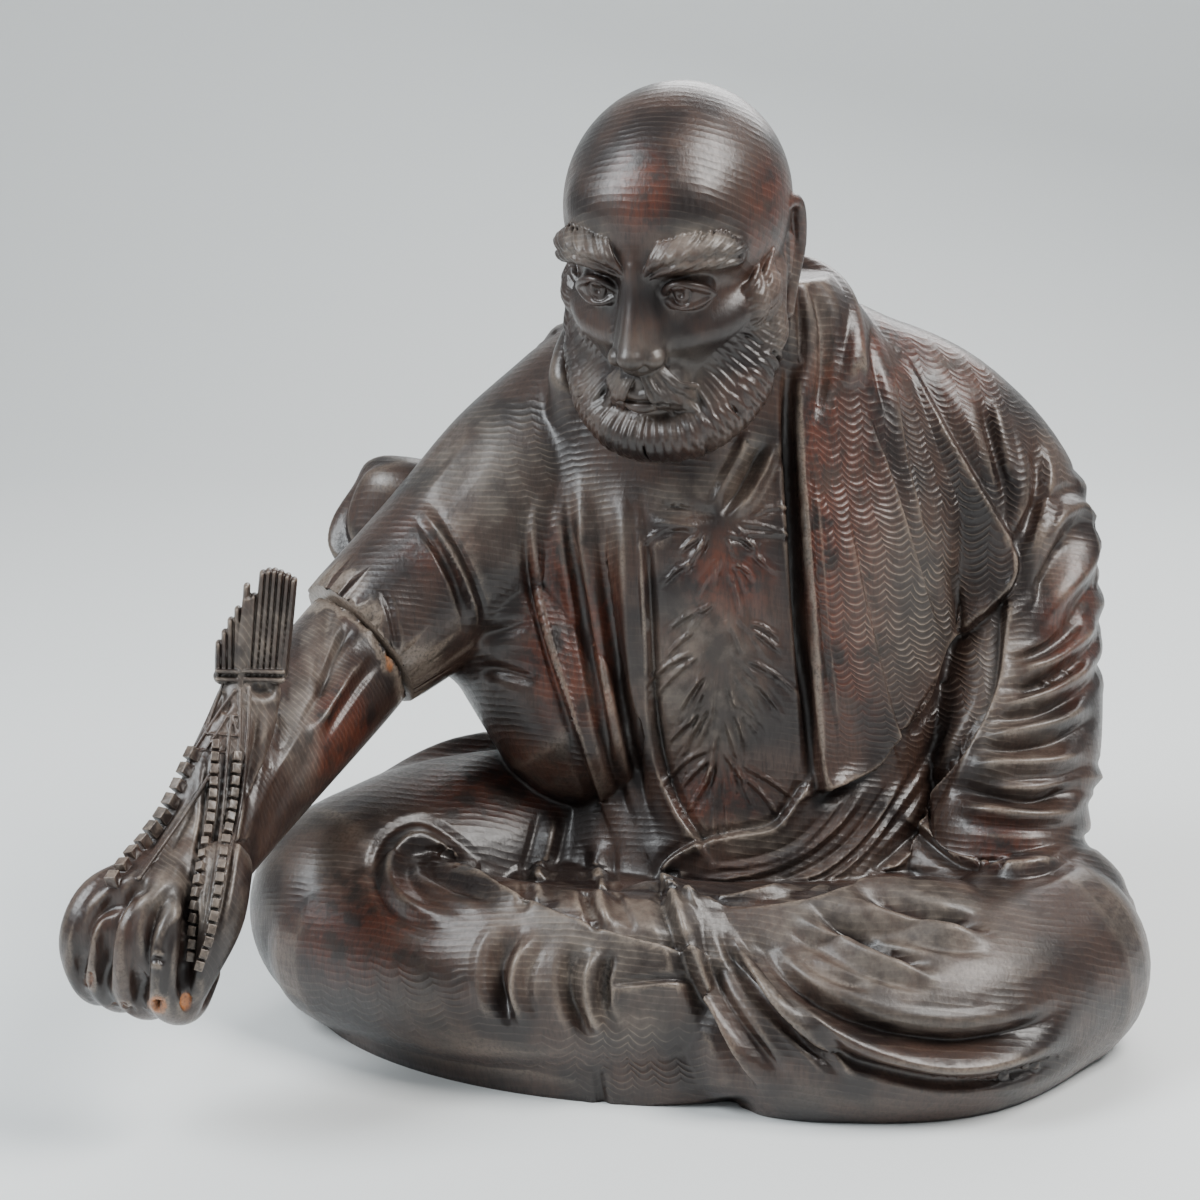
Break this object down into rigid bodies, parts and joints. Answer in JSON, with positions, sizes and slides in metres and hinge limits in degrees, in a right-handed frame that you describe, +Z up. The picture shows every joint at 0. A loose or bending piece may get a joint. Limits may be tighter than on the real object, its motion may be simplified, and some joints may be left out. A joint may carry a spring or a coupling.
{
  "type": "bodhidharma statue",
  "caption": "Dark carved wood statue of a seated bearded monk in a loose robe, one arm stretched out in a fist with bead strings and a tassel along the forearm.",
  "frame": {"origin": "on the flat underside, below the middle of the seated figure", "axes": "+Z up, -Y towards the front of the crossed legs, +X to the viewer's right, which is the figure's own left"},
  "size_m": [0.3281, 0.2492, 0.2997],
  "materials": {
    "dark_wood": "hand carved with rippled gouge marks, dark brown stain under a worn satin polish, pale dust in the hollows"
  },
  "bodies": {
    "root": {"seated_figure": "dark_wood", "outstretched_forearm": "dark_wood"}
  },
  "joints": []
}
